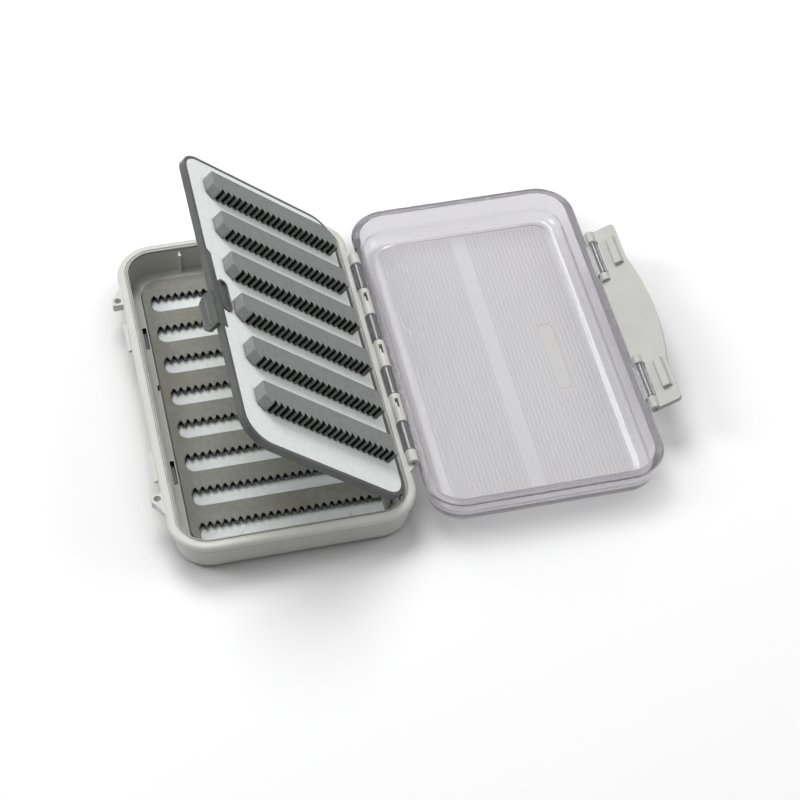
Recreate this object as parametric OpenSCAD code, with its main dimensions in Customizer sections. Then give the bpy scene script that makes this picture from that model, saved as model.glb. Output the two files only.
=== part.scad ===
// Fly box: a shallow base tray, a clear lid, a swing leaf with foam bars and a
// latch flap. Millimetres, +Z up. The origin is the centre of the base's
// underside, +X points across the hinge and +Y along it, away from the front.
// The box is drawn open: the lid lies level beside the base, its hollow side
// up, the leaf is raised and the latch flap is let out.

/* [Case] */
// Length of both shells, along the hinge
case_length = 155; // [152:0.5:160]
// Width of the base and of the lid
case_width = 92; // [90:0.5:97]
// Height of the base, from its underside to its rim
base_height = 15; // [14.5:0.1:17]
// Depth of the lid, from its rim to its outer face
lid_depth = 12.8; // [12.4:0.1:14.5]
// Outer corner radius of both shells, seen from above
corner_radius = 15; // [14:0.25:16.5]
// Gap between the two rims when the case is shut
rim_gap = 0.2; // [0.15:0.05:0.4]

/* [Base shell] */
// Thickness of the base's floor under the foam
floor_thickness = 1.6; // [1.2:0.1:1.9]
// Width of the base's rim, from its outer edge to the tray
rim_width = 4.3; // [4.1:0.1:4.6]
// Height of the flange that runs round below the rim
flange_height = 3.2; // [2.6:0.1:3.8]
// How far the flange stands out from the wall below it
flange_step = 1; // [0.6:0.1:1.4]
// Radius of the rim's outer top edge
rim_round = 1.6; // [0.8:0.1:1.8]
// How far the underside lies inside the outer edge
foot_inset = 5; // [4:0.25:6]
// Radius of the underside's edge
foot_round = 2.4; // [1:0.1:3]
// How far the tray's wall leans in towards its foot
wall_draft = 0.8; // [0.4:0.1:1.2]
// Height of the ledge round the foam
ledge_height = 3.6; // [3:0.1:4.2]
// Width of a locating rib on the tray's end walls
end_rib_width = 1; // [0.6:0.1:1.6]
// How far an end rib stands out over the ledge
end_rib_depth = 2; // [1:0.1:3]
// Distance of each end rib from the middle of the case
end_rib_offset = 20; // [14:0.5:26]

/* [Seal] */
// Distance of the seal's middle from the base's outer edge
seal_inset = 3.4; // [3.2:0.05:3.5]
// Diameter of the rubber seal
seal_diameter = 0.9; // [0.7:0.05:0.95]
// Clearance round the seal in its groove
seal_clearance = 0.05; // [0.02:0.01:0.1]
// How far the seal lies below the rim
seal_drop = 0.15; // [0.05:0.05:0.3]

/* [Foam] */
// Length of the well that holds the foam
well_length = 135; // [134:0.5:137]
// Width of the well that holds the foam
well_width = 75.6; // [74:0.2:76]
// Corner radius of the foam well
well_radius = 8; // [6:0.5:9]
// Gap all round between the foam and the well
foam_gap = 0.3; // [0.1:0.05:0.6]
// Thickness of the white backing foam
backing_foam = 0.9; // [0.6:0.1:1.2]
// Thickness of the grey slit foam
slit_foam = 2.4; // [1.6:0.1:3]
// Number of rows in the base
row_count = 8; // [5:1:8]
// Distance from one row to the next in the base
row_pitch = 16.55; // [15.6:0.05:16.6]
// Width of a white window between two rows
window_width = 7; // [5:0.1:8]
// Width of the first grey row at the far end
first_row = 10.2; // [9:0.1:10.3]
// Distance of the windows' ends from the foam's sides
window_margin = 3.25; // [2:0.25:8]
// Radius of the rounded near corner of a window
window_radius = 3.4; // [1:0.1:4]
// Distance from one slit to the next
slit_pitch = 2.85; // [2.4:0.05:3.6]
// Depth of a slit's notch
slit_depth = 1.8; // [1:0.1:2.2]
// Width of a slit's notch at its mouth
slit_mouth = 1.8; // [1.2:0.1:2.3]

/* [Main hinge] */
// Distance of the hinge axis from the base's outer edge
hinge_offset = 1.4; // [1.2:0.05:1.8]
// Radius of a knuckle
knuckle_radius = 2.2; // [2:0.05:2.4]
// Length of a lid knuckle
lid_knuckle = 13.6; // [12:0.2:14.4]
// Distance from one lid knuckle to the next
knuckle_pitch = 27.8; // [27.4:0.1:28.4]
// Length of the base knuckle at each end of the hinge
end_knuckle = 5.4; // [4:0.2:6]
// Gap between neighbouring knuckles
knuckle_gap = 0.3; // [0.2:0.05:0.5]
// Gap between a knuckle and the shell that passes it
knuckle_relief = 0.25; // [0.2:0.05:0.4]
// Diameter of the main hinge pin
hinge_pin = 1.5; // [1.2:0.1:1.8]
// Length of the opening over the pin in a base knuckle
knuckle_slot_length = 4.6; // [3:0.2:6]
// Width of that opening
knuckle_slot_width = 1.3; // [0.8:0.1:1.5]
// Radial clearance of a pin in the part that turns on it
turning_clearance = 0.05; // [0.03:0.01:0.08]
// Radial clearance of a pin in the part that holds it
holding_clearance = 0.01; // [0.01:0.01:0.03]

/* [Lid shell] */
// Width of the lid's rim
lid_rim = 3.3; // [2.8:0.1:3.8]
// How far the lid's wall leans in towards its outer face
lid_draft = 2.2; // [1.2:0.1:2.8]
// Radius of the outer edge of the lid
lid_edge_round = 3; // [2:0.1:3.4]
// Radius of the hollow between the lid's wall and its panel
lid_fillet = 6; // [4.5:0.1:6.4]
// Thickness of the lid's panel
panel_thickness = 1.5; // [1.2:0.1:1.8]
// How far the ribbed panel is sunk below its surround
panel_step = 0.3; // [0.2:0.05:0.5]
// Corner radius of the ribbed panel
panel_radius = 6; // [4:0.5:8]
// Distance from one fine rib to the next
rib_pitch = 1.65; // [1.4:0.05:2.4]
// Height of a fine rib
rib_height = 0.25; // [0.15:0.05:0.3]
// Width of a fine rib at its foot
rib_width = 0.95; // [0.6:0.05:1.1]
// Width of the plain band down the middle of the panel
plain_band = 6; // [4:0.5:10]
// Length of the smooth oblong pad on the panel
pad_length = 34; // [26:0.5:40]
// Width of the smooth oblong pad
pad_width = 6; // [4:0.5:8]
// Distance of the pad from the middle of the lid
pad_offset = 21; // [18:0.5:24]

/* [Latch] */
// Distance of the flap's axis from the lid's outer edge
latch_offset = 2.3; // [2.2:0.05:2.5]
// Depth of the flap's axis below the lid's rim
latch_drop = 0.4; // [0.2:0.05:0.6]
// Radius of a latch knuckle
latch_knuckle_radius = 1.9; // [1.7:0.05:2]
// Diameter of a latch pin
latch_pin = 1.2; // [1:0.1:1.4]
// Half the length of the flap
flap_half_length = 47; // [46:0.1:47.2]
// Reach of the flap from its axis, at its ends
flap_reach = 10.6; // [10:0.1:11]
// How far the flap's middle bulges further out
flap_bulge = 3.2; // [1.5:0.1:3.4]
// Half the length of the bulge
bulge_half_length = 28; // [22:0.5:32]
// Thickness of the flap
flap_thickness = 1.8; // [1.4:0.1:2.2]
// Corner radius of the flap
flap_corner = 1.6; // [1:0.1:3]
// Distance of each latch hinge's middle from the middle of the case
latch_hinge_offset = 32.9; // [31.5:0.1:33.5]
// Length of the lid's knuckle in a latch hinge
latch_lid_knuckle = 16.8; // [14:0.2:17.6]
// Length of the flap's inner knuckle
latch_inner_knuckle = 3.6; // [2.6:0.2:4.4]
// Distance from the flap's axis to its hook
hook_reach = 5.6; // [5.4:0.1:5.8]
// Width of a hook's foot
hook_width = 3.9; // [3:0.1:4.2]
// Height of a hook
hook_height = 1.6; // [1.2:0.1:1.7]
// Length of a hook and of the catch above it
hook_length = 14; // [10:0.5:16]
// How far a catch stands out from the base's outer edge
catch_depth = 1.3; // [1:0.1:1.5]
// Gap between a hook and its catch
catch_gap = 0.3; // [0.2:0.05:0.5]
// Height of a catch
catch_height = 1.7; // [1.2:0.1:2]
// Angle by which the open flap stands up from the lid's rim
flap_angle = 25; // [15:1:35]

/* [Strap lugs] */
// Radius of a lug's hole
lug_hole = 1.35; // [1:0.05:1.5]
// Distance of a lug's hole from the base's outer edge
lug_hole_offset = 1.7; // [1.6:0.05:2]
// How far a lug stands out from the base's outer edge
lug_depth = 4; // [3.7:0.1:4.6]
// Height of a lug
lug_height = 3.2; // [2.4:0.1:4]
// Distance of a lug's top below the rim
lug_drop = 0.8; // [0.4:0.1:1.2]
// Distance of a lug's straight side from the middle of the case
lug_inner_side = 47.9; // [47.6:0.1:48.4]
// Width of a lug, without its slanted side
lug_width = 4.6; // [4.4:0.1:5.2]
// Run of a lug's slanted side along the wall
lug_slant = 5; // [3:0.25:7]

/* [Swing leaf] */
// Distance of the leaf's pivot from the base's outer edge
pivot_inset = 7.2; // [7.1:0.1:7.6]
// Height of the leaf's pivot above the base's underside
pivot_height = 12.6; // [12:0.1:12.7]
// Height of the leaf's underside above its pivot
leaf_seat = 2; // [1.8:0.1:2.4]
// Reach of the leaf from its pivot to its free edge
leaf_reach = 78.3; // [74:0.1:78.6]
// Distance of the leaf's heel from its pivot
heel_gap = 0.6; // [0.4:0.1:3]
// Thickness of the leaf's frame
leaf_thickness = 2.8; // [2.4:0.1:3.2]
// Gap between the leaf and the tray's far wall
leaf_far_gap = 0.5; // [0.4:0.1:3]
// Gap between the leaf and the tray's near wall
leaf_near_gap = 0.7; // [0.5:0.1:3]
// Width of the leaf's border round its white sheet
leaf_border = 1.4; // [1:0.1:2]
// Thickness of the leaf's white sheet
leaf_sheet = 0.8; // [0.5:0.1:1.2]
// Gap between the leaf's sheet and the border round it
sheet_gap = 0.1; // [0.05:0.05:0.3]
// Depth of the shallow recess in the leaf's back
leaf_back_recess = 0.8; // [0.4:0.1:1]
// Width of the full-thickness edge round that recess
back_edge = 3.2; // [2:0.1:5]
// Radius of the leaf's far corner by the hinge
leaf_far_heel_round = 11; // [9:0.5:12]
// Radius of the leaf's near corner by the hinge
leaf_near_heel_round = 10; // [6:0.5:12]
// Radius of the leaf's far free corner
leaf_far_round = 8; // [7:0.5:10]
// Radius of the leaf's near free corner
leaf_near_round = 12; // [8:0.5:14]
// Radius of the boss round a leaf pivot pin
ear_radius = 1.7; // [1.5:0.1:1.8]
// Length of that boss
ear_length = 8; // [5:0.5:12]
// Distance of the boss's end from the tray's end wall
ear_gap = 3.9; // [3.5:0.1:6]
// Diameter of a leaf pivot pin
pivot_pin = 1.5; // [1.2:0.1:1.6]
// How far a pivot pin runs into the base's wall
pivot_engagement = 2.2; // [1.6:0.1:2.4]
// Angle by which the leaf is raised
leaf_angle = 42; // [30:1:55]

/* [Leaf bars] */
// Number of foam bars on the leaf
bar_count = 6; // [6:1:6]
// Distance from one bar to the next
bar_pitch = 21.5; // [20:0.1:22]
// Distance of the first bar from the leaf's far edge
bar_start = 11.7; // [9:0.1:13]
// Width of a bar
bar_width = 10; // [8:0.1:11]
// Height of a bar
bar_height = 5.2; // [4:0.1:5.8]
// Distance of the bars' free ends from the leaf's free edge
bar_end_gap = 8.1; // [8:0.1:12]
// Distance of the bars' other ends from the leaf's heel
bar_heel_gap = 5.6; // [1.6:0.1:8]
// Cut on a bar's near corner at its free end
bar_chamfer = 3; // [1:0.1:4]
// Radius of the first bar's corner beside the leaf's round corner
bar_corner_round = 6; // [4:0.5:8]

/* [Leaf tab] */
// Length of the finger tab on the leaf's free edge
tab_length = 16.5; // [12:0.5:22]
// Distance of the tab's middle from the middle of the case, nearer
tab_offset = 10.5; // [4:0.5:12]
// How far the tab stands out from the leaf's free edge
tab_reach = 1.4; // [1.2:0.1:1.5]
// How far the tab hangs below the leaf's top
tab_drop = 7.6; // [5:0.1:8]
// Height of the slanted corners of the tab
tab_slant = 2; // [1:0.1:4]
// Length of the raised loop beside the tab
loop_length = 15.5; // [10:0.5:18]
// Width of the raised loop
loop_width = 4.4; // [3.6:0.1:5]
// Height of the raised loop
loop_height = 0.7; // [0.4:0.1:1.2]
// Width of the ridge that forms the loop
loop_ridge = 1; // [0.6:0.1:1.4]
// Distance of the loop from the leaf's free edge
loop_inset = 2.7; // [2.6:0.1:3]
// Distance of the loop's middle from the middle of the case, nearer
loop_offset = 3; // [0:0.5:5]
// Width of the broad border by the tab
broad_border = 3.1; // [2.8:0.1:3.6]
// Reach of the broad border to the far side
broad_far = 20; // [14:0.5:28]
// Reach of the broad border to the near side
broad_near = 19.5; // [14:0.5:24]

/* [Hidden] */
$fn = 64;
overlap = 0.2;
half_length = case_length / 2;
half_width = case_width / 2;
arc_steps = 8;
hinge_x = half_width + hinge_offset;
hinge_z = base_height + rim_gap / 2;
lid_x = 2 * hinge_x;
lid_rim_z = 2 * hinge_z - base_height - rim_gap;
lid_outer_x = lid_x + half_width;
flap_x = lid_outer_x + latch_offset;
flap_z = lid_rim_z - latch_drop;
flap_closed_z = 2 * hinge_z - flap_z;
pivot_x = half_width - pivot_inset;
tray_x = half_width - rim_width;
tray_y = half_length - rim_width;
seal_radius = seal_diameter / 2;
groove_half = seal_radius + seal_clearance;
groove_depth = seal_drop + seal_diameter + seal_clearance;
leaf_y_max = tray_y - leaf_far_gap;
leaf_y_min = leaf_near_gap - tray_y;
leaf_top = leaf_seat + leaf_thickness;
flap_inner = 0.3;
latch_pin_inset = 0.4;
main_pin_inset = 0.3;
hook_ease = 0.3;
lug_corner = 0.5;
lug_slope = 1.2;
bar_corner = 0.8;
bar_ease = 0.6;
ear_flare = 2.5;
knuckle_web = hinge_offset + 1.6;
outer_root = half_width - seal_inset + groove_half + 0.1;
heel_margin = 1;
tab_ease = 0.4;
tab_bead = 0.45;
tab_ridge = 3.4;
base_knuckle = knuckle_pitch - lid_knuckle - 2 * knuckle_gap;
hinge_half = 1.5 * knuckle_pitch + lid_knuckle / 2 + knuckle_gap + end_knuckle;
hinge_end_gusset = 4.2;
latch_outer_start = latch_hinge_offset + latch_lid_knuckle / 2 + knuckle_gap;
latch_inner_end = latch_hinge_offset - latch_lid_knuckle / 2 - knuckle_gap;
latch_inner_start = latch_inner_end - latch_inner_knuckle;
catch_bottom = flap_closed_z - hook_reach + catch_gap;
foam_y_max = well_length / 2 - foam_gap;
foam_x_min = foam_gap - well_width / 2;
window_length = well_width - 2 * foam_gap - 2 * window_margin;
panel_half_x = half_width - lid_rim - 1 - lid_fillet;
panel_half_y = half_length - lid_rim - 1 - lid_fillet;
pocket_length = 11.4;
pocket_width = 1.6;
pocket_far_y = 37.7;
pocket_near_y = -31;
pocket_inset = 1;
finger_notch_length = 3;
finger_notch_width = 0.9;
finger_notch_y = 11.5;

// ---------------------------------------------------------------- helpers

// Points of an arc about [cx, cy], from angle a to angle b
function arc_points(cx, cy, radius, a, b) =
    [for (i = [0:arc_steps]) let (t = a + (b - a) * i / arc_steps)
        [cx + radius * cos(t), cy + radius * sin(t)]];

// Outline of a rectangle, each corner with its own radius,
// anticlockwise from the corner at [x_max, y_max]
function corner_outline(x_min, x_max, y_min, y_max, radii) = concat(
    arc_points(x_max - radii[0], y_max - radii[0], radii[0], 0, 90),
    arc_points(x_min + radii[1], y_max - radii[1], radii[1], 90, 180),
    arc_points(x_min + radii[2], y_min + radii[2], radii[2], 180, 270),
    arc_points(x_max - radii[3], y_min + radii[3], radii[3], 270, 360));

// Flat plate with round corners, standing on z = 0
module round_plate(size_x, size_y, height, radius) {
    linear_extrude(height) union() {
        square([size_x - 2 * radius, size_y], center = true);
        square([size_x, size_y - 2 * radius], center = true);
        for (sx = [-1, 1], sy = [-1, 1])
            translate([sx * (size_x / 2 - radius), sy * (size_y / 2 - radius)])
                circle(radius);
    }
}

// Flat plate along Y with fully round ends, standing on z = 0
module oblong_plate(width, length, height) {
    linear_extrude(height) union() {
        square([width, length - width], center = true);
        for (side = [-1, 1]) translate([0, side * (length - width) / 2]) circle(width / 2);
    }
}

// Runs a 2D profile round the case's rounded rectangle. The profile's first
// axis is the distance outwards from the centre of a corner.
module round_the_case() {
    straight_x = half_width - corner_radius;
    straight_y = half_length - corner_radius;
    for (sx = [0, 1], sy = [0, 1])
        mirror([sx, 0, 0]) mirror([0, sy, 0]) translate([straight_x, straight_y, 0])
            rotate_extrude(angle = 90) children();
    for (sx = [0, 1])
        mirror([sx, 0, 0]) translate([straight_x, straight_y, 0])
            rotate([90, 0, 0]) linear_extrude(2 * straight_y) children();
    for (sy = [0, 1])
        mirror([0, sy, 0]) translate([-straight_x, straight_y, 0])
            rotate([90, 0, 90]) linear_extrude(2 * straight_x) children();
}

// Floor between the straight sides, which the profile doesn't reach
module middle_floor(z, height) {
    translate([corner_radius - half_width, corner_radius - half_length, z])
        cube([case_width - 2 * corner_radius, case_length - 2 * corner_radius, height]);
}

// Cylinder along Y, from y_min to y_max
module rod(x, z, radius, y_min, y_max) {
    translate([x, y_max, z]) rotate([90, 0, 0]) cylinder(r = radius, h = y_max - y_min);
}

// Both ends of the case alike
module both_ends() {
    children();
    mirror([0, 1, 0]) children();
}

// A row of V notches along +X from x = 0, each cut in to +Y
function notch_points(count, pitch, mouth, depth) =
    [for (i = [0:count - 1], p = [0:2])
        [(i + 0.5) * pitch + (p - 1) * mouth / 2, p == 1 ? depth : 0]];

// ------------------------------------------------------------- base shell

module base_profile() {
    r = corner_radius;
    step_z = base_height - flange_height;
    polygon(concat(
        [[0, 0]],
        arc_points(r - foot_inset, foot_round, foot_round, -90, 0),
        [[r - flange_step, step_z], [r, step_z + flange_step / 2]],
        arc_points(r - rim_round, base_height - rim_round, rim_round, 0, 90),
        [[r - seal_inset + groove_half, base_height],
         [r - seal_inset + groove_half, base_height - groove_depth],
         [r - seal_inset - groove_half, base_height - groove_depth],
         [r - seal_inset - groove_half, base_height],
         [r - rim_width, base_height],
         [r - rim_width - wall_draft, ledge_height],
         [0, ledge_height]]));
}

// A knuckle on the base's hinge side, with its web to the wall
module base_knuckle_at(y_min, y_max) {
    rod(hinge_x, hinge_z, knuckle_radius, y_min, y_max);
    translate([hinge_x - knuckle_web, y_min, hinge_z - knuckle_radius])
        cube([knuckle_web, y_max - y_min, knuckle_radius - rim_gap / 2]);
}

// Opening over the pin in a base knuckle
module knuckle_slot(y) {
    translate([hinge_x - knuckle_slot_width / 2, y - knuckle_slot_length / 2, hinge_z])
        cube([knuckle_slot_width, knuckle_slot_length, knuckle_radius + 1]);
}

module base_hinge() {
    for (k = [-1:1])
        base_knuckle_at(k * knuckle_pitch - base_knuckle / 2,
            k * knuckle_pitch + base_knuckle / 2);
    both_ends() {
        base_knuckle_at(hinge_half - end_knuckle, hinge_half);
        translate([0, 0, hinge_z - knuckle_radius])
            linear_extrude(knuckle_radius - rim_gap / 2)
                polygon([[hinge_x - knuckle_web, hinge_half - overlap],
                    [hinge_x + knuckle_radius / 2, hinge_half - overlap],
                    [hinge_x + knuckle_radius / 2, hinge_half],
                    [hinge_x - knuckle_web, hinge_half + hinge_end_gusset]]);
    }
}

// Space for the lid's knuckles in the base's wall
module lid_knuckle_reliefs() {
    for (k = [-1.5:1:1.5])
        rod(hinge_x, hinge_z, knuckle_radius + knuckle_relief,
            k * knuckle_pitch - lid_knuckle / 2 - knuckle_gap,
            k * knuckle_pitch + lid_knuckle / 2 + knuckle_gap);
}

// Ledge on the outside of the base that a hook of the flap grips
module catch_ledge() {
    outer = half_width + catch_depth;
    translate([0, latch_hinge_offset + hook_length / 2, 0]) rotate([90, 0, 0])
        linear_extrude(hook_length)
            polygon([[-outer_root, catch_bottom], [-outer, catch_bottom],
                [-outer, catch_bottom + catch_height / 2],
                [-outer + catch_depth, catch_bottom + catch_height],
                [-outer_root, catch_bottom + catch_height]]);
}

module strap_lug() {
    outer = half_width + lug_depth;
    outer_end = lug_inner_side + lug_width;
    translate([0, 0, base_height - lug_drop - lug_height]) linear_extrude(lug_height)
        polygon([[-outer_root, lug_inner_side], [-outer + lug_corner, lug_inner_side],
            [-outer, lug_inner_side + lug_corner], [-outer, outer_end - lug_slope],
            [-outer + lug_slope, outer_end], [-half_width, outer_end + lug_slant],
            [-outer_root, outer_end + lug_slant]]);
}

module lug_bore() {
    translate([-half_width - lug_hole_offset, lug_inner_side + lug_width / 2,
        base_height - lug_drop - lug_height - 1])
        cylinder(r = lug_hole, h = lug_height + 2);
}

// Upright ribs on the tray's two end walls
module end_ribs() {
    for (side = [-1, 1]) both_ends()
        translate([side * end_rib_offset - end_rib_width / 2,
            tray_y - wall_draft - end_rib_depth, ledge_height - overlap])
            cube([end_rib_width, end_rib_depth + wall_draft + overlap,
                base_height - rim_round - ledge_height]);
}

module base_shell() {
    color([0.86, 0.86, 0.84]) difference() {
        union() {
            difference() {
                union() {
                    round_the_case() base_profile();
                    middle_floor(0, ledge_height);
                    end_ribs();
                }
                lid_knuckle_reliefs();
            }
            base_hinge();
            both_ends() {
                catch_ledge();
                strap_lug();
            }
        }
        translate([0, 0, floor_thickness])
            round_plate(well_width, well_length, ledge_height, well_radius);
        both_ends() {
            lug_bore();
            // Bore of the leaf's pivot
            rod(pivot_x, pivot_height, pivot_pin / 2 + turning_clearance,
                pivot_wall_y - 3, pivot_wall_y + pivot_engagement + 0.4);
        }
        // Pockets in the ledge on the latch side
        for (y = [pocket_near_y, pocket_far_y])
            translate([wall_draft + pocket_inset - tray_x, y - pocket_length / 2, floor_thickness])
                cube([pocket_width, pocket_length, ledge_height]);
        // Notch for lifting the foam out
        translate([-well_width / 2 - finger_notch_width,
            finger_notch_y - finger_notch_length / 2, floor_thickness])
            cube([finger_notch_width + 1, finger_notch_length, ledge_height]);
        for (k = [-1:1]) knuckle_slot(k * knuckle_pitch + 2);
        rod(hinge_x, hinge_z, hinge_pin / 2 + holding_clearance, -hinge_half - 1, hinge_half + 1);
    }
}

// The tray's wall beside the pivot, on the inner corner's curve
pivot_wall_radius = corner_radius - rim_width
    - wall_draft * (base_height - pivot_height) / (base_height - ledge_height);
pivot_wall_run = pivot_x - (half_width - corner_radius);
pivot_wall_y = half_length - corner_radius
    + sqrt(pivot_wall_radius * pivot_wall_radius - pivot_wall_run * pivot_wall_run);
leaf_pin_start = pivot_wall_y - ear_gap - ear_length + 1;

// -------------------------------------------------------- seal and foams

module seal_ring() {
    color([0.2, 0.2, 0.2]) round_the_case()
        translate([corner_radius - seal_inset, base_height - seal_drop - seal_radius])
            circle(seal_radius);
}

module base_backing_foam() {
    color([0.92, 0.93, 0.92]) translate([0, 0, floor_thickness])
        round_plate(well_width - 2 * foam_gap, well_length - 2 * foam_gap,
            backing_foam, well_radius - foam_gap);
}

// A window in the slit foam: notched far edge, one rounded near corner.
// Its far edge lies on y = 0 and its free end on x = 0.
// The last window's near corner is nearly square.
module window_outline(r) {
    count = floor((window_length - 1) / slit_pitch);
    notches = notch_points(count, slit_pitch, slit_mouth, slit_depth);
    polygon(concat(
        [[0, 0]], notches, [[window_length, 0], [window_length, -window_width]],
        [for (p = arc_points(r, r - window_width, r, 270, 180)) p]));
}

module base_slit_foam() {
    color([0.5, 0.52, 0.49]) difference() {
        translate([0, 0, floor_thickness + backing_foam])
            round_plate(well_width - 2 * foam_gap, well_length - 2 * foam_gap,
                slit_foam, well_radius - foam_gap);
        for (i = [0:row_count - 1])
            translate([foam_x_min + window_margin, foam_y_max - first_row - i * row_pitch,
                floor_thickness + backing_foam - 1])
                linear_extrude(slit_foam + 2)
                    window_outline(i == row_count - 1 ? 0.5 : window_radius);
    }
}

// ------------------------------------------------------------ hinge pins

module main_hinge_pin() {
    color([0.75, 0.76, 0.78])
        rod(hinge_x, hinge_z, hinge_pin / 2, main_pin_inset - hinge_half,
            hinge_half - main_pin_inset);
}

// Pin of one latch hinge, on the far side of the case
module latch_pin_half() {
    color([0.75, 0.76, 0.78])
        rod(flap_x, flap_z, latch_pin / 2, latch_inner_start + latch_pin_inset,
            flap_half_length - latch_pin_inset);
}

module latch_pin_far() { latch_pin_half(); }

module latch_pin_near() { mirror([0, 1, 0]) latch_pin_half(); }

// -------------------------------------------------------------- lid shell

module lid_profile() {
    r = corner_radius;
    fillet_x = r - lid_rim - 1;
    fillet_z = panel_thickness + panel_step + lid_fillet - lid_depth;
    polygon(concat(
        [[0, -lid_depth]],
        arc_points(r - lid_draft - lid_edge_round, lid_edge_round - lid_depth,
            lid_edge_round, -90, 0),
        [[r, -0.5], [r - 0.5, 0], [r - lid_rim, 0]],
        arc_points(fillet_x - lid_fillet, fillet_z, lid_fillet, 0, -90),
        [[0, fillet_z - lid_fillet]]));
}

// Cross-section of the fine ribs, from x_min to x_max
module rib_section(x_min, x_max) {
    count = floor((x_max - x_min) / rib_pitch);
    start = (x_min + x_max - count * rib_pitch) / 2 + (rib_pitch - rib_width) / 2;
    foot = -overlap / 2;
    polygon(concat(
        [[x_min, foot]],
        [for (i = [0:count - 1], p = [[0, 0], [0.25, 1], [0.75, 1], [1, 0]])
            [start + i * rib_pitch + p[0] * rib_width, p[1] * rib_height]],
        [[x_max, foot]]));
}

module panel_ribs() {
    side = panel_half_x - 1;
    intersection() {
        difference() {
            translate([0, panel_half_y - 1, 0]) rotate([90, 0, 0])
                linear_extrude(2 * panel_half_y - 2) {
                    rib_section(-side, -plain_band / 2 - 1.5);
                    rib_section(plain_band / 2 - 1.5, side);
                }
            translate([pad_offset, -4, 0]) oblong_plate(pad_width, pad_length, 1);
        }
        translate([0, 0, -1])
            round_plate(2 * panel_half_x - 2, 2 * panel_half_y - 2, 3, panel_radius - 1);
    }
}

// A lid knuckle for the main hinge, in the lid's own axes
module lid_knuckle_at(y) {
    web = knuckle_web;
    rod(-half_width - hinge_offset, rim_gap / 2, knuckle_radius,
        y - lid_knuckle / 2, y + lid_knuckle / 2);
    translate([-half_width - hinge_offset, y - lid_knuckle / 2, rim_gap / 2 - knuckle_radius])
        cube([web, lid_knuckle, knuckle_radius - rim_gap / 2]);
}

// Space for the base's knuckles in the lid's wall
module base_knuckle_reliefs() {
    x = -half_width - hinge_offset;
    radius = knuckle_radius + knuckle_relief;
    for (k = [-1:1])
        rod(x, rim_gap / 2, radius, k * knuckle_pitch - base_knuckle / 2 - knuckle_gap,
            k * knuckle_pitch + base_knuckle / 2 + knuckle_gap);
    both_ends()
        rod(x, rim_gap / 2, radius, hinge_half - end_knuckle - knuckle_gap,
            hinge_half + hinge_end_gusset + knuckle_gap);
}

// The lid's knuckle for one end of the flap
module latch_lid_knuckle_at() {
    y_min = latch_hinge_offset - latch_lid_knuckle / 2;
    y_max = latch_hinge_offset + latch_lid_knuckle / 2;
    rod(half_width + latch_offset, -latch_drop, latch_knuckle_radius, y_min, y_max);
    translate([half_width - 1.5, y_min, -latch_drop - latch_knuckle_radius])
        cube([latch_offset + 1.5, y_max - y_min, latch_knuckle_radius]);
}

module lid_shell() {
    color([0.82, 0.82, 0.84, 0.45]) translate([lid_x, 0, lid_rim_z]) difference() {
        union() {
            difference() {
                union() {
                    round_the_case() lid_profile();
                    middle_floor(-lid_depth, panel_thickness + panel_step);
                }
                base_knuckle_reliefs();
                translate([0, 0, panel_thickness - lid_depth])
                    round_plate(2 * panel_half_x, 2 * panel_half_y, 1, panel_radius);
            }
            translate([0, 0, panel_thickness - lid_depth]) panel_ribs();
            for (k = [-1.5:1:1.5]) lid_knuckle_at(k * knuckle_pitch);
            both_ends() latch_lid_knuckle_at();
        }
        rod(-half_width - hinge_offset, rim_gap / 2, hinge_pin / 2 + turning_clearance,
            -hinge_half, hinge_half);
        rod(half_width + latch_offset, -latch_drop, latch_pin / 2 + holding_clearance,
            -flap_half_length, flap_half_length);
    }
}

// ------------------------------------------------------------- latch flap

// Outline of the flap: +X is its reach from the axis
module flap_outline() {
    bulge_radius = (bulge_half_length * bulge_half_length + flap_bulge * flap_bulge)
        / (2 * flap_bulge);
    bulge_angle = asin(bulge_half_length / bulge_radius);
    corners = [flap_corner, 0.01, 0.01, flap_corner];
    edge = corner_outline(0, flap_reach, -flap_half_length, flap_half_length, corners);
    polygon(concat(edge,
        arc_points(flap_reach + flap_bulge - bulge_radius, 0, bulge_radius,
            -bulge_angle, bulge_angle)));
}

// One hook on the flap's inner face
module flap_hook() {
    translate([0, latch_hinge_offset + hook_length / 2, flap_inner - overlap])
        rotate([90, 0, 0]) linear_extrude(hook_length)
            polygon([[hook_reach, 0], [hook_reach, overlap + hook_height - hook_ease],
                [hook_reach + hook_ease, overlap + hook_height],
                [hook_reach + hook_width - 1, overlap + hook_height],
                [hook_reach + hook_width, 0]]);
}

module latch_flap() {
    plate_bottom = flap_inner - flap_thickness;
    clear_radius = latch_knuckle_radius + knuckle_gap;
    color([0.76, 0.77, 0.74]) translate([flap_x, 0, flap_z]) rotate([0, -flap_angle, 0])
        difference() {
            union() {
                difference() {
                    translate([0, 0, plate_bottom]) linear_extrude(flap_thickness) flap_outline();
                    // Room for the lid's knuckles
                    both_ends()
                        translate([-1, latch_inner_end, plate_bottom - 1])
                            cube([1 + clear_radius, latch_outer_start - latch_inner_end,
                                flap_thickness + 2]);
                }
                // Root between the hinges: round towards the lid, level with the plate
                difference() {
                    rod(0, 0, latch_knuckle_radius, -latch_inner_start - overlap,
                        latch_inner_start + overlap);
                    translate([-latch_knuckle_radius - 1, -latch_inner_start, flap_inner])
                        cube([2 * latch_knuckle_radius + 2, 2 * latch_inner_start,
                            latch_knuckle_radius]);
                }
                both_ends() {
                    rod(0, 0, latch_knuckle_radius, latch_outer_start, flap_half_length);
                    rod(0, 0, latch_knuckle_radius, latch_inner_start, latch_inner_end);
                    flap_hook();
                }
            }
            both_ends()
                rod(0, 0, latch_pin / 2 + turning_clearance,
                    latch_inner_start + latch_pin_inset / 2, flap_half_length + 1);
        }
}

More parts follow.
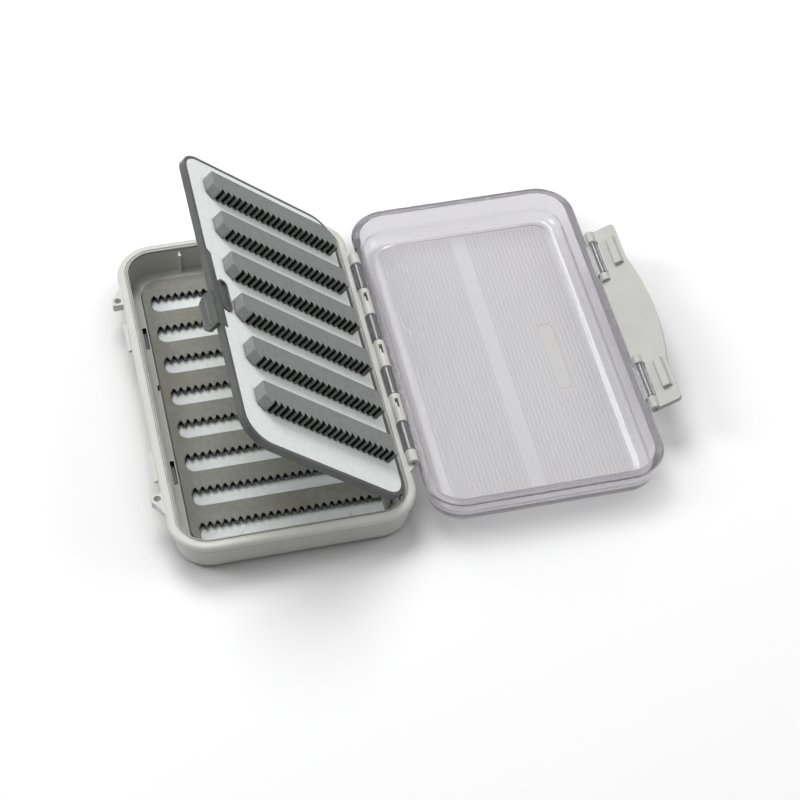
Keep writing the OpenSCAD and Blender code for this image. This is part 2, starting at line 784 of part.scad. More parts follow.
// ------------------------------------------------------------- swing leaf

// Puts what is drawn flat about the pivot into the raised leaf's place
module leaf_pose() {
    translate([pivot_x, 0, pivot_height]) rotate([0, leaf_angle, 0]) children();
}

// Outline of the leaf, drawn in by the given margin
module leaf_outline(margin) {
    radii = [leaf_far_heel_round, leaf_far_round, leaf_near_round, leaf_near_heel_round];
    polygon(corner_outline(-leaf_reach + margin, -heel_gap - margin,
        leaf_y_min + margin, leaf_y_max - margin, [for (r = radii) r - margin]));
}

// Outline of the leaf's sheet, or of its recess, without the broad border
module sheet_outline(gap) {
    slant = broad_border - leaf_border;
    free = -leaf_reach - 1;
    inner = broad_border + gap - leaf_reach;
    difference() {
        leaf_outline(leaf_border + gap);
        polygon([[free, -broad_near - gap], [inner, -broad_near - gap],
            [inner, broad_far - slant + gap], [inner - slant, broad_far + gap],
            [free, broad_far + gap]]);
        loop_place() square_oblong(loop_width + 2 * gap, loop_length + 2 * gap);
    }
}

// Flat shape with straight sides and round ends, its length along Y
module square_oblong(width, length) {
    square([width, length - width], center = true);
    for (side = [-1, 1]) translate([0, side * (length - width) / 2]) circle(width / 2);
}

// Puts a flat shape where the tab's loop stands
module loop_place() {
    translate([loop_inset + loop_width / 2 - leaf_reach, -loop_offset]) children();
}

// The finger tab: a lip that hangs outside the free edge, with a grip ridge
module leaf_tab() {
    outer = -leaf_reach - tab_reach;
    low = leaf_top - tab_drop;
    y_min = -tab_offset - tab_length / 2;
    y_max = -tab_offset + tab_length / 2;
    top = leaf_top - tab_ease;
    lip = [[y_min, top], [y_min, low + tab_slant], [y_min + tab_slant, low],
        [y_max - tab_slant, low], [y_max, low + tab_slant], [y_max, top]];
    translate([outer, 0, 0]) rotate([90, 0, 90]) linear_extrude(tab_reach + overlap) polygon(lip);
    for (z = [low + tab_bead, low + tab_ridge])
        rod(outer + tab_bead / 2, z, tab_bead, y_min + tab_slant, y_max - tab_slant);
}

// Raised loop on the leaf's top
module leaf_loop() {
    translate([0, 0, leaf_top - leaf_sheet - overlap]) loop_place() difference() {
        oblong_plate(loop_width, loop_length, leaf_sheet + loop_height + overlap);
        translate([0, 0, leaf_sheet + overlap])
            oblong_plate(loop_width - 2 * loop_ridge, loop_length - 2 * loop_ridge,
                loop_height + 1);
    }
}

// Boss round the far pivot pin, below the leaf's heel
module leaf_ear() {
    ear_end = pivot_wall_y - ear_gap;
    rod(0, 0, ear_radius, ear_end - ear_length, ear_end);
    translate([-ear_radius - ear_flare, ear_end, 0]) rotate([90, 0, 0])
        linear_extrude(ear_length)
            polygon([[0, leaf_seat + overlap], [ear_flare, -ear_radius * 0.6],
                [ear_radius + ear_flare, 0],
                [ear_radius + ear_flare - heel_gap, leaf_seat + overlap]]);
}

module leaf_frame() {
    color([0.45, 0.45, 0.47]) leaf_pose() difference() {
        union() {
            difference() {
                translate([0, 0, leaf_seat]) linear_extrude(leaf_thickness) leaf_outline(0);
                translate([0, 0, leaf_top - leaf_sheet])
                    linear_extrude(leaf_sheet + 1) sheet_outline(0);
                translate([0, 0, leaf_seat - 1])
                    linear_extrude(leaf_back_recess + 1) leaf_outline(back_edge);
            }
            leaf_tab();
            leaf_loop();
            both_ends() leaf_ear();
        }
        both_ends() rod(0, 0, pivot_pin / 2 + holding_clearance, leaf_pin_start, pivot_wall_y);
    }
}

module leaf_backing() {
    color([0.93, 0.94, 0.93]) leaf_pose() translate([0, 0, leaf_top - leaf_sheet])
        linear_extrude(leaf_sheet) sheet_outline(sheet_gap);
}

// Outline of a foam bar: its far side on y = 0, its free end at -X
module bar_outline(heel_round) {
    free_end = bar_end_gap - leaf_reach;
    heel_end = -heel_gap - bar_heel_gap;
    count = floor((heel_end - free_end - bar_chamfer - heel_margin) / slit_pitch);
    notches = notch_points(count, slit_pitch, slit_mouth, slit_depth);
    polygon(concat(
        arc_points(heel_end - heel_round, -heel_round, heel_round, 0, 90),
        [[free_end + bar_corner, 0], [free_end, -bar_corner],
            [free_end, bar_chamfer - bar_width],
         [free_end + bar_chamfer, -bar_width]],
        [for (p = notches) [free_end + bar_chamfer + p[0], p[1] - bar_width]],
        [[heel_end, -bar_width]]));
}

// Foam bar number i, counted from the far end of the leaf
module leaf_bar(i) {
    color([0.53, 0.55, 0.53]) leaf_pose()
        translate([0, leaf_y_max - bar_start - (i - 1) * bar_pitch, leaf_top])
            linear_extrude(bar_height) 
                bar_outline(i == 1 ? bar_corner_round : bar_ease);
}

// The far pivot pin of the leaf
module leaf_pin_half() {
    color([0.75, 0.76, 0.78]) leaf_pose()
        rod(0, 0, pivot_pin / 2, leaf_pin_start, pivot_wall_y + pivot_engagement);
}

module leaf_pivot_pin_far() { leaf_pin_half(); }

module leaf_pivot_pin_near() { mirror([0, 1, 0]) leaf_pin_half(); }

// ------------------------------------------------------------------ nodes

base_shell();
seal_ring();
base_backing_foam();
base_slit_foam();
main_hinge_pin();
lid_shell();
latch_pin_far();
latch_pin_near();
latch_flap();
leaf_frame();
leaf_backing();
leaf_pivot_pin_far();
leaf_pivot_pin_near();
leaf_bar(1);  // leaf_bar_1
leaf_bar(2);  // leaf_bar_2
leaf_bar(3);  // leaf_bar_3
leaf_bar(4);  // leaf_bar_4
leaf_bar(5);  // leaf_bar_5
leaf_bar(6);  // leaf_bar_6
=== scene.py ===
import math

import bmesh
import bpy
from mathutils import Matrix, Vector, noise

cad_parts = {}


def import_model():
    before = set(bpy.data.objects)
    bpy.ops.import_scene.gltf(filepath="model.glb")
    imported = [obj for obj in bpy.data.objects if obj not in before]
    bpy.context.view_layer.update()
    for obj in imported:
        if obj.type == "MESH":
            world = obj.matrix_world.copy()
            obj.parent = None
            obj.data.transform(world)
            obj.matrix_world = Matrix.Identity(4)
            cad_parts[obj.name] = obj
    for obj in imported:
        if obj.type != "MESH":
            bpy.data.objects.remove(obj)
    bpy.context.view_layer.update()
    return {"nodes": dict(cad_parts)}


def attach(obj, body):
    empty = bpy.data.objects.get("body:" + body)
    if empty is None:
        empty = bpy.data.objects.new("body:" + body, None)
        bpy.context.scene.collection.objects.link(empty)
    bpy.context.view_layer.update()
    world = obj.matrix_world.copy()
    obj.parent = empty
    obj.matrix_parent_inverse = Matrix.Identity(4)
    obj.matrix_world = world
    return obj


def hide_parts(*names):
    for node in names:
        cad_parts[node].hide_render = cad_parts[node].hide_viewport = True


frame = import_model()

MM = 0.001
NODES = frame["nodes"]
SCENE = bpy.context.scene


def add_object(name, data):
    """Puts a new object with this data into the scene."""
    obj = bpy.data.objects.new(name, data)
    SCENE.collection.objects.link(obj)
    return obj


# ------------------------------------------------------------ node helpers

class Look:
    """A node material, with short ways to add the usual nodes."""

    def __init__(self, name):
        self.mat = bpy.data.materials.new(name)
        self.mat.use_nodes = True
        self.nodes = self.mat.node_tree.nodes
        self.links = self.mat.node_tree.links
        self.bsdf = self.nodes["Principled BSDF"]
        self.out = self.nodes["Material Output"]
        self.co = self.node("ShaderNodeTexCoord").outputs["Object"]
        self.tint = None

    def node(self, kind, **values):
        n = self.nodes.new(kind)
        for k, v in values.items():
            setattr(n, k, v)
        return n

    def put(self, source, target):
        self.links.new(source, target)

    def set(self, **values):
        for k, v in values.items():
            self.bsdf.inputs[k.replace("_", " ")].default_value = v

    def axes(self):
        """The object's own x, y and z, in metres."""
        split = self.node("ShaderNodeSeparateXYZ")
        self.put(self.co, split.inputs["Vector"])
        return tuple(split.outputs)

    def noise(self, scale, detail=3.0, rough=0.55, co=None):
        n = self.node("ShaderNodeTexNoise")
        n.inputs["Scale"].default_value = scale
        n.inputs["Detail"].default_value = detail
        n.inputs["Roughness"].default_value = rough
        self.put(co or self.co, n.inputs["Vector"])
        return n.outputs["Fac"]

    def cells(self, scale):
        n = self.node("ShaderNodeTexVoronoi")
        n.inputs["Scale"].default_value = scale
        self.put(self.co, n.inputs["Vector"])
        return n.outputs["Distance"]

    def ramp(self, fac, stops):
        n = self.node("ShaderNodeValToRGB")
        while len(n.color_ramp.elements) < len(stops):
            n.color_ramp.elements.new(0.5)
        for e, (place, value) in zip(n.color_ramp.elements, stops):
            e.position = place
            e.color = rgb(value)
        self.put(fac, n.inputs["Fac"])
        return n.outputs["Color"]

    def map(self, fac, low, high, from_low=0.0, from_high=1.0):
        n = self.node("ShaderNodeMapRange")
        n.inputs["From Min"].default_value = from_low
        n.inputs["From Max"].default_value = from_high
        n.inputs["To Min"].default_value = low
        n.inputs["To Max"].default_value = high
        self.put(fac, n.inputs["Value"])
        return n.outputs["Result"]

    def math(self, operation, a, b=None, clamp=False):
        n = self.node("ShaderNodeMath", operation=operation, use_clamp=clamp)
        for socket, v in zip(n.inputs, (a, b)):
            if v is None:
                continue
            if isinstance(v, (int, float)):
                socket.default_value = v
            else:
                self.put(v, socket)
        return n.outputs["Value"]

    def mix(self, fac, a, b, blend="MIX"):
        n = self.node("ShaderNodeMix", data_type="RGBA", blend_type=blend)
        for socket, v in zip((n.inputs[0], n.inputs[6], n.inputs[7]), (fac, a, b)):
            if isinstance(v, (int, float)):
                socket.default_value = v
            elif isinstance(v, tuple):
                socket.default_value = rgb(v)
            else:
                self.put(v, socket)
        return n.outputs[2]

    def bump(self, height, distance, strength, under=None):
        n = self.node("ShaderNodeBump")
        n.inputs["Distance"].default_value = distance
        n.inputs["Strength"].default_value = strength
        self.put(height, n.inputs["Height"])
        if under is not None:
            self.put(under, n.inputs["Normal"])
        return n.outputs["Normal"]

    def box(self, low, high):
        """1 inside a box of the object's own coordinates, given in mm, and 0 outside it."""
        inside = 1.0
        for axis, a, b in zip(self.axes(), low, high):
            middle = (a + b) / 2 * MM
            half = (b - a) / 2 * MM
            off = self.math("ABSOLUTE", self.math("SUBTRACT", axis, middle))
            inside = self.math("MULTIPLY", self.math("LESS_THAN", off, half), inside)
        return inside

    def reach(self, x, y, x_middle, y_middle, straight):
        """Distance from a short line along Y, whose half length is straight."""
        across = self.math("SUBTRACT", x, x_middle)
        along = self.math("ABSOLUTE", self.math("SUBTRACT", y, y_middle))
        along = self.math("MAXIMUM", self.math("SUBTRACT", along, straight), 0.0)
        square = self.math("ADD", self.math("MULTIPLY", across, across),
                           self.math("MULTIPLY", along, along))
        return self.math("SQRT", square)

    def rounded_frame(self, half_x, half_y, radius, inset):
        """0 inside a rounded rectangle drawn in by inset, all in mm, and 1 outside it."""
        square = 0.0
        for axis, half in zip(self.axes(), (half_x, half_y)):
            past = self.math("SUBTRACT", self.math("ABSOLUTE", axis), (half - radius) * MM)
            past = self.math("MAXIMUM", past, 0.0)
            square = self.math("ADD", self.math("MULTIPLY", past, past), square)
        reach = self.math("SQRT", square)
        return self.math("GREATER_THAN", reach, (radius - inset) * MM)

    def color(self, socket):
        self.tint = socket
        self.put(socket, self.bsdf.inputs["Base Color"])

    def paint(self, mask, value, strength=1.0):
        """Lays a colour over the look's own where the mask is above 0."""
        share = self.math("MULTIPLY", mask, strength, clamp=True)
        self.color(self.mix(share, self.tint, value))

    def rough(self, socket):
        self.put(socket, self.bsdf.inputs["Roughness"])

    def normal(self, socket):
        self.put(socket, self.bsdf.inputs["Normal"])


def lin(v):
    """One sRGB value, 0 to 255, as linear light."""
    v = v / 255
    return v / 12.92 if v <= 0.04045 else ((v + 0.055) / 1.055) ** 2.4


def rgb(value):
    return (lin(value[0]), lin(value[1]), lin(value[2]), 1.0)


def scaled(base, share):
    return tuple(v * share for v in base)


# --------------------------------------------------------------- materials
# Colours are sRGB values from 0 to 255.

def moulded(name, base, spread, rough):
    """Opaque moulded plastic: slight cloudiness, a fine matt grain, faint flow marks."""
    m = Look(name)
    darker = tuple(v - spread for v in base)
    lighter = tuple(v + spread for v in base)
    cloud = m.noise(scale=90, detail=4)
    m.color(m.ramp(cloud, [(0.3, darker), (0.7, lighter)]))
    speck = m.noise(scale=3500, detail=2)
    m.paint(m.map(speck, low=0.0, high=0.06), scaled(base, 0.8))
    m.rough(m.map(m.noise(scale=260), low=rough - 0.06, high=rough + 0.08))
    grain = m.bump(m.noise(scale=5200, detail=2), distance=0.00003, strength=0.35)
    flow = m.noise(scale=140)
    m.normal(m.bump(flow, distance=0.0001, strength=0.15, under=grain))
    return m


# The base's outline and the parts of it that are painted darker, in mm: painted shade on its
# ledges, pockets, lip and foot, and three fine wall lines
CASE = dict(half_x=46.0, half_y=77.5, radius=15.0)
LEDGE_SHADE = dict(x=40, half_width=2.6, half_length=66, low=1, high=3.8)
POCKET_SHADE = dict(left=-40.0, right=-38.2, low=1, high=3.55, spans=((32.0, 43.4), (-36.7, -25.3)))
LIP_SHADE = dict(far=100, low=14.0, high=15.5, inset=3.75)
WALL = dict(half_x=47, half_y=78.5, inset=1.6, line=0.3)
WALL_LINES = ((12.7, 0.5), (10.4, 0.4), (8.3, 0.25))
# Heights where the painted shade at the foot is full and where it fades out
FOOT_SHADE_FULL, FOOT_SHADE_END = 0.6, 2.6


def base_plastic():
    """The base's plastic, with painted shade on its side ledges, in its pockets, inside its lip
    and at its foot, and three fine dark lines round its wall."""
    m = moulded("base_plastic", (209, 209, 203), spread=3, rough=0.42)
    # Painted shade on the side ledges, down by the walls
    for x in (-LEDGE_SHADE["x"], LEDGE_SHADE["x"]):
        ledge_shade = m.box((x - LEDGE_SHADE["half_width"], -LEDGE_SHADE["half_length"], LEDGE_SHADE["low"]),
                      (x + LEDGE_SHADE["half_width"], LEDGE_SHADE["half_length"], LEDGE_SHADE["high"]))
        m.paint(ledge_shade, (120, 121, 117), strength=0.5)
    # Painted shade, near black, in the pockets
    for y_low, y_high in POCKET_SHADE["spans"]:
        pocket_shade = m.box((POCKET_SHADE["left"], y_low, POCKET_SHADE["low"]),
                       (POCKET_SHADE["right"], y_high, POCKET_SHADE["high"]))
        m.paint(pocket_shade, (22, 22, 21))
    # Painted shade round the inside of the rim, just below its top
    far = LIP_SHADE["far"]
    layer = m.box((-far, -far, LIP_SHADE["low"]), (far, far, LIP_SHADE["high"]))
    lip = m.math("SUBTRACT", layer, m.rounded_frame(**CASE, inset=LIP_SHADE["inset"]))
    m.paint(lip, (118, 118, 112), strength=0.6)
    outside = m.rounded_frame(**CASE, inset=WALL["inset"])
    for low, strength in WALL_LINES:
        layer = m.box((-WALL["half_x"], -WALL["half_y"], low),
                      (WALL["half_x"], WALL["half_y"], low + WALL["line"]))
        m.paint(m.math("MULTIPLY", layer, outside), (110, 110, 106), strength)
    # Painted shade at the foot, where the wall meets the floor
    z = m.axes()[2]
    foot = m.map(z, low=0.85, high=0.0, from_low=FOOT_SHADE_FULL * MM, from_high=FOOT_SHADE_END * MM)
    m.paint(foot, (60, 60, 58))
    return m


def foam(name, base, spread, dirt=0.0):
    """Closed-cell foam: fine cells, mottled, quite matt, and brownish where it is dirty."""
    m = Look(name)
    darker = tuple(v - spread for v in base)
    lighter = tuple(v + spread for v in base)
    mottle = m.noise(scale=420, detail=5, rough=0.65)
    m.color(m.ramp(mottle, [(0.32, darker), (0.5, base), (0.68, lighter)]))
    cell = m.cells(scale=2600)
    m.paint(m.map(cell, low=0.22, high=0.0, from_low=0.05, from_high=0.6), scaled(base, 0.72))
    if dirt:
        spots = m.map(m.noise(scale=60), low=0.0, high=dirt, from_low=0.45, from_high=0.75)
        m.paint(spots, (base[0] * 0.9, base[1] * 0.86, base[2] * 0.78))
    m.rough(m.map(m.noise(scale=900), low=0.86, high=0.98))
    pores = m.bump(cell, distance=0.00012, strength=0.6)
    m.normal(m.bump(m.noise(scale=700), distance=0.00015, strength=0.35, under=pores))
    m.set(Specular_IOR_Level=0.25)
    return m


def brushed_steel():
    """Drawn steel pins, with fine lines along their length."""
    m = Look("pin_steel")
    stretch = m.node("ShaderNodeMapping")
    stretch.inputs["Scale"].default_value = (1.0, 0.03, 1.0)
    m.put(m.co, stretch.inputs["Vector"])
    drawn = m.noise(scale=9000, detail=2, co=stretch.outputs["Vector"])
    m.color(m.ramp(drawn, [(0.35, (136, 138, 140)), (0.65, (178, 179, 180))]))
    m.rough(m.map(drawn, low=0.3, high=0.45))
    m.normal(m.bump(drawn, distance=0.00002, strength=0.3))
    m.set(Metallic=1.0)
    return m


# The lid's flat panel as a box, in mm
PANEL = ((60.1, -66, 3.5), (129.5, 66, 4.4))
# The ribs of the panel, the plain strip between them and the oblong pad, in metres
RIB_PITCH, RIB_FIRST, RIB_SHIFT = 0.00165, 0.061175, 0.0014
# Bounds of the ramp of the painted light and shade stripes across the ribs
RIB_DARK, RIB_CLEAR = 0.0001, 0.0007
STRIP_LOW, STRIP_HIGH, STRIP_HALF_LENGTH = 0.0903, 0.0963, 0.070
PAD_X, PAD_Y, PAD_STRAIGHT, PAD_ROUND, PAD_EDGE = 0.1158, -0.004, 0.014, 0.003, 0.0003
# The hinge knuckles lie outside these two x places, in metres; painted shade goes on them
KNUCKLES_LEFT, KNUCKLES_RIGHT = 0.0496, 0.1412
# A row of faint rings on the panel, in metres
RING_X, RING_FIRST_Y, RING_LAST_Y = 0.0655, 0.0525, -0.045
RING_SPACING, RING_RADIUS, RING_LINE = 0.0286, 0.0042, 0.0004


def clear_plastic():
    """Clear moulded lid: a thin body tint, ribs with painted light and shade stripes, a smooth
    pad, faint rings, and painted shade on its knuckles.
    """
    m = Look("clear_plastic")
    x, y = m.axes()[:2]
    panel = m.box(*PANEL)
    strip = m.box((STRIP_LOW / MM, -STRIP_HALF_LENGTH / MM, 0),
                  (STRIP_HIGH / MM, STRIP_HALF_LENGTH / MM, 5))
    from_pad = m.reach(x, y, PAD_X, PAD_Y, PAD_STRAIGHT)
    on_pad = m.math("LESS_THAN", from_pad, PAD_ROUND)
    # Painted light and shade in stripes across the ribs
    past_strip = m.math("MULTIPLY", m.math("GREATER_THAN", x, STRIP_LOW), RIB_SHIFT)
    run = m.math("SUBTRACT", m.math("SUBTRACT", x, RIB_FIRST), past_strip)
    rib_light_and_shade = m.math("PINGPONG", run, RIB_PITCH / 2)
    rib_light_and_shade = m.map(rib_light_and_shade, low=0.0, high=1.0, from_low=RIB_DARK, from_high=RIB_CLEAR)
    ribbed = m.math("SUBTRACT", m.math("SUBTRACT", panel, strip), on_pad, clamp=True)
    m.color(m.mix(m.math("MULTIPLY", rib_light_and_shade, ribbed), (249, 248, 250), (229, 227, 230)))
    m.paint(m.math("MULTIPLY", on_pad, panel), (241, 239, 233))
    off_edge = m.math("ABSOLUTE", m.math("SUBTRACT", from_pad, PAD_ROUND))
    edge = m.map(off_edge, low=0.6, high=0.0, from_low=0.0, from_high=PAD_EDGE)
    ring = ring_marks(m, x, y)
    marks = m.math("MAXIMUM", edge, m.math("MULTIPLY", ring, 0.35))
    m.paint(m.math("MULTIPLY", marks, panel), (180, 179, 181))
    # Painted shade on the clear knuckles
    knuckles = m.math("MAXIMUM", m.math("LESS_THAN", x, KNUCKLES_LEFT),
                      m.math("GREATER_THAN", x, KNUCKLES_RIGHT))
    m.paint(knuckles, (168, 169, 169), strength=0.8)
    m.set(Transmission_Weight=0.9, IOR=1.49)
    m.rough(m.map(m.noise(scale=160, detail=4), low=0.09, high=0.16))
    m.normal(m.bump(ring, distance=0.00005, strength=0.6))
    body = m.node("ShaderNodeVolumeAbsorption")
    body.inputs["Color"].default_value = (0.62, 0.61, 0.64, 1.0)
    body.inputs["Density"].default_value = 115.0
    m.put(body.outputs["Volume"], m.out.inputs["Volume"])
    see_through(m, share=0.86)
    return m


def ring_marks(m, x, y):
    """1 on the rings of the lid's panel and 0 away from them."""
    along = m.math("ADD", y, RING_SPACING * 1.5 - RING_FIRST_Y)
    along = m.math("FLOORED_MODULO", along, RING_SPACING)
    along = m.math("SUBTRACT", along, RING_SPACING / 2)
    off = m.math("SUBTRACT", m.reach(x, along, RING_X, 0.0, 0.0), RING_RADIUS)
    ring = m.map(m.math("ABSOLUTE", off), low=1.0, high=0.0, from_low=0.0, from_high=RING_LINE)
    return m.math("MULTIPLY", ring, m.math("GREATER_THAN", y, RING_LAST_Y))


def see_through(m, share):
    """Lamps and soft light pass through, as they do through clear plastic."""
    path = m.node("ShaderNodeLightPath")
    clear = m.node("ShaderNodeBsdfTransparent")
    clear.inputs["Color"].default_value = (share, share, share, 1.0)
    mix = m.node("ShaderNodeMixShader")
    m.put(m.math("MAXIMUM", path.outputs["Is Shadow Ray"], path.outputs["Is Diffuse Ray"]),
          mix.inputs["Fac"])
    m.put(m.bsdf.outputs["BSDF"], mix.inputs[1])
    m.put(clear.outputs["BSDF"], mix.inputs[2])
    m.put(mix.outputs["Shader"], m.out.inputs["Surface"])


def smoke_plastic():
    """Grey translucent plastic of the leaf."""
    m = Look("smoke_plastic")
    cloud = m.noise(scale=120)
    m.color(m.ramp(cloud, [(0.3, (92, 94, 92)), (0.7, (102, 104, 102))]))
    m.set(Transmission_Weight=0.2, IOR=1.49)
    m.rough(m.map(m.noise(scale=300), low=0.26, high=0.38))
    m.normal(m.bump(m.noise(scale=500, detail=2), distance=0.00003, strength=0.2))
    return m


def rubber():
    """Pale rubber of the seal."""
    m = Look("seal_rubber")
    m.color(m.ramp(m.noise(scale=700), [(0.3, (188, 188, 184)), (0.7, (204, 204, 199))]))
    m.rough(m.map(m.noise(scale=900), low=0.55, high=0.75))
    m.normal(m.bump(m.noise(scale=3000, detail=2), distance=0.00004, strength=0.4))
    return m


WHITE_FOAM = foam("white_foam", (241, 245, 243), spread=4).mat
GREY_FOAM = foam("grey_foam", (147, 148, 141), spread=7, dirt=0.5).mat
BAR_FOAM = foam("bar_foam", (140, 143, 142), spread=6).mat
# Near-black painted shade for the slits' walls
SLIT_SHADE_FOAM = foam("slit_shade_foam", (24, 25, 24), spread=4).mat
# Darker grey painted shade for the near faces of the teeth's tips
TIP_SHADE_FOAM = foam("tip_shade_foam", (114, 117, 113), spread=6).mat


def dress(look, *names):
    """Gives CAD nodes the look's material."""
    for n in names:
        NODES[n].data.materials.clear()
        NODES[n].data.materials.append(look.mat)


dress(base_plastic(), "base_shell")
dress(rubber(), "seal_ring")
dress(brushed_steel(), "main_hinge_pin", "latch_pin_far", "latch_pin_near",
      "leaf_pivot_pin_far", "leaf_pivot_pin_near")
dress(clear_plastic(), "lid_shell")
dress(moulded("flap_plastic", (186, 187, 181), spread=3, rough=0.45), "latch_flap")
dress(smoke_plastic(), "leaf_frame")


# ---------------------------------------------------------- dressed foams
# The pieces are made in mm and brought into the frame by settle().

def evaluated_mesh(obj):
    """The mesh that a curve, or an object with modifiers, comes out as."""
    bpy.context.view_layer.update()
    graph = bpy.context.evaluated_depsgraph_get()
    return bpy.data.meshes.new_from_object(obj.evaluated_get(graph))


def slab(name, outlines, z_low, z_high, edge):
    """A flat piece from outlines, the first the outer one, with rounded edges."""
    curve = bpy.data.curves.new(name, "CURVE")
    curve.dimensions = "2D"
    curve.fill_mode = "BOTH"
    curve.extrude = (z_high - z_low) / 2 - edge
    curve.bevel_depth = edge
    curve.bevel_resolution = 1
    curve.offset = -edge
    for points in outlines:
        spline = curve.splines.new("POLY")
        spline.points.add(len(points) - 1)
        for p, (x, y) in zip(spline.points, points):
            p.co = (x, y, 0, 1)
        spline.use_cyclic_u = True
    source = add_object(name + "_source", curve)
    mesh = evaluated_mesh(source)
    bpy.data.objects.remove(source)
    mesh.name = name
    mesh.transform(Matrix.Translation((0, 0, (z_low + z_high) / 2)))
    bm = bmesh.new()
    bm.from_mesh(mesh)
    bmesh.ops.remove_doubles(bm, verts=bm.verts, dist=0.001)
    bmesh.ops.recalc_face_normals(bm, faces=bm.faces)
    bm.to_mesh(mesh)
    bm.free()
    return add_object(name, mesh)


def refine(obj, voxel, relax):
    """Gives a foam piece an even mesh, with the soft edges that cut foam has."""
    remesh = obj.modifiers.new("even", "REMESH")
    remesh.mode = "VOXEL"
    remesh.voxel_size = voxel
    smooth = obj.modifiers.new("soft", "SMOOTH")
    smooth.factor = 0.5
    smooth.iterations = relax
    mesh = evaluated_mesh(obj)
    obj.modifiers.clear()
    obj.data = mesh


def ripple(obj, amount, size):
    """Slight unevenness of a foam surface, in broad waves and smaller ones on them."""
    normals = [v.normal.copy() for v in obj.data.vertices]
    for v, n in zip(obj.data.vertices, normals):
        broad = noise.noise(v.co / size)
        small = noise.noise(v.co / size * 3.1)
        v.co += n * amount * (broad + 0.4 * small)


def settle(obj, place, materials, body, node):
    """Brings a foam piece into the frame, and lets it stand for its CAD node."""
    mesh = obj.data
    mesh.transform(place @ Matrix.Scale(MM, 4))
    marked = [p.material_index for p in mesh.polygons]
    mesh.materials.clear()
    for m in materials:
        mesh.materials.append(m)
    mesh.polygons.foreach_set("material_index", marked)
    mesh.shade_smooth()
    stand_in(obj, body, node)


def stand_in(obj, body, node):
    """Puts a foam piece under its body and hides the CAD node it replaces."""
    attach(obj, body)
    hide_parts(node)


ARC_STEPS = 8


def arc(cx, cy, r, start, end):
    """Points of an arc, with its angles in degrees."""
    angles = [math.radians(start + (end - start) * i / ARC_STEPS) for i in range(ARC_STEPS + 1)]
    return [(cx + r * math.cos(a), cy + r * math.sin(a)) for a in angles]


def rounded(half_x, half_y, r):
    """Outline of a rectangle about the origin, with rounded corners."""
    x, y = half_x - r, half_y - r
    return (arc(x, y, r, 0, 90) + arc(-x, y, r, 90, 180)
            + arc(-x, -y, r, 180, 270) + arc(x, -y, r, 270, 360))


# The slits of all grey foams, in mm
PITCH, MOUTH, DEPTH, HALF_TIP = 2.85, 1.8, 1.8, 0.15
# Places of the foams' materials: the plain one, the near-black painted shade of the slits'
# walls and the darker painted shade of the teeth's tips
SLIT_SHADE, TIP_SHADE = 1, 2


def notches(count):
    """V notches along +X, each cut in to +Y, with slightly blunt tips."""
    made = []
    for i in range(count):
        x = (i + 0.5) * PITCH
        made += [(x - MOUTH / 2, 0), (x - HALF_TIP, DEPTH), (x + HALF_TIP, DEPTH),
                 (x + MOUTH / 2, 0)]
    return made


# The base's two foam sheets, and the windows in the grey one
SHEET = dict(half_x=37.5, half_y=67.2, r=7.7)
WINDOW = dict(left=-34.25, right=34.25, first=57.0, pitch=16.55, width=7.0, rows=8,
              radius=3.4, last_radius=0.5)


def window_tops():
    """The notched far edge of each window, from the far end on."""
    return [WINDOW["first"] - i * WINDOW["pitch"] for i in range(WINDOW["rows"])]


def window(top, radius):
    """Outline of one window: notched far edge, one rounded near corner."""
    left, right = WINDOW["left"], WINDOW["right"]
    low = top - WINDOW["width"]
    count = int((right - left - 1) / PITCH)
    edge = [(left + x, top + y) for x, y in notches(count)]
    return ([(left, top)] + edge + [(right, top), (right, low)]
            + arc(left + radius, low + radius, radius, 270, 180))


def grey_base_foam():
    """The slit sheet of the base, with painted shade on its slits' walls and teeth's tips."""
    tops = window_tops()
    radii = [WINDOW["radius"]] * (WINDOW["rows"] - 1) + [WINDOW["last_radius"]]
    windows = [window(top, radius) for top, radius in zip(tops, radii)]
    piece = slab("base_slit_foam_dressed", [rounded(**SHEET)] + windows,
                 z_low=2.52, z_high=4.88, edge=0.16)
    refine(piece, voxel=0.3, relax=2)
    ripple(piece, amount=0.03, size=5.0)
    # Painted shade: slits' walls near black, teeth's tips a darker grey
    for p in piece.data.polygons:
        x, y, n = p.center.x, p.center.y, p.normal
        past = y - min(tops, key=lambda top: abs(top + 0.8 - y))
        slit = WINDOW["left"] < x < WINDOW["right"] and -0.5 < past < DEPTH + 0.4
        if slit and n.y < -0.25 and n.z < 0.75:
            p.material_index = SLIT_SHADE if past > 0.3 else TIP_SHADE
    settle(piece, Matrix.Identity(4), (GREY_FOAM, SLIT_SHADE_FOAM, TIP_SHADE_FOAM), "base",
           "base_slit_foam")


def white_base_foam():
    """The plain sheet under the slit one."""
    piece = slab("base_backing_foam_dressed", [rounded(**SHEET)],
                 z_low=1.62, z_high=2.48, edge=0.12)
    refine(piece, voxel=0.42, relax=1)
    ripple(piece, amount=0.02, size=6.0)
    settle(piece, Matrix.Identity(4), (WHITE_FOAM,), "base", "base_backing_foam")


# The leaf's own axes: x along its reach, z square to it, the pivot at the origin
LEAF_ANGLE = 42
PIVOT = (38.8, 0, 12.6)
LEAF = (Matrix.Translation([v * MM for v in PIVOT])
        @ Matrix.Rotation(math.radians(LEAF_ANGLE), 4, "Y"))
LEAF_TOP = 4.8
BARS = 6
BAR = dict(free=-70.2, heel=-6.2, width=10.0, height=5.2, chamfer=3.0, blunt=0.8, gap=0.02,
           first=61.0, pitch=21.5, first_radius=6.0, radius=0.6)


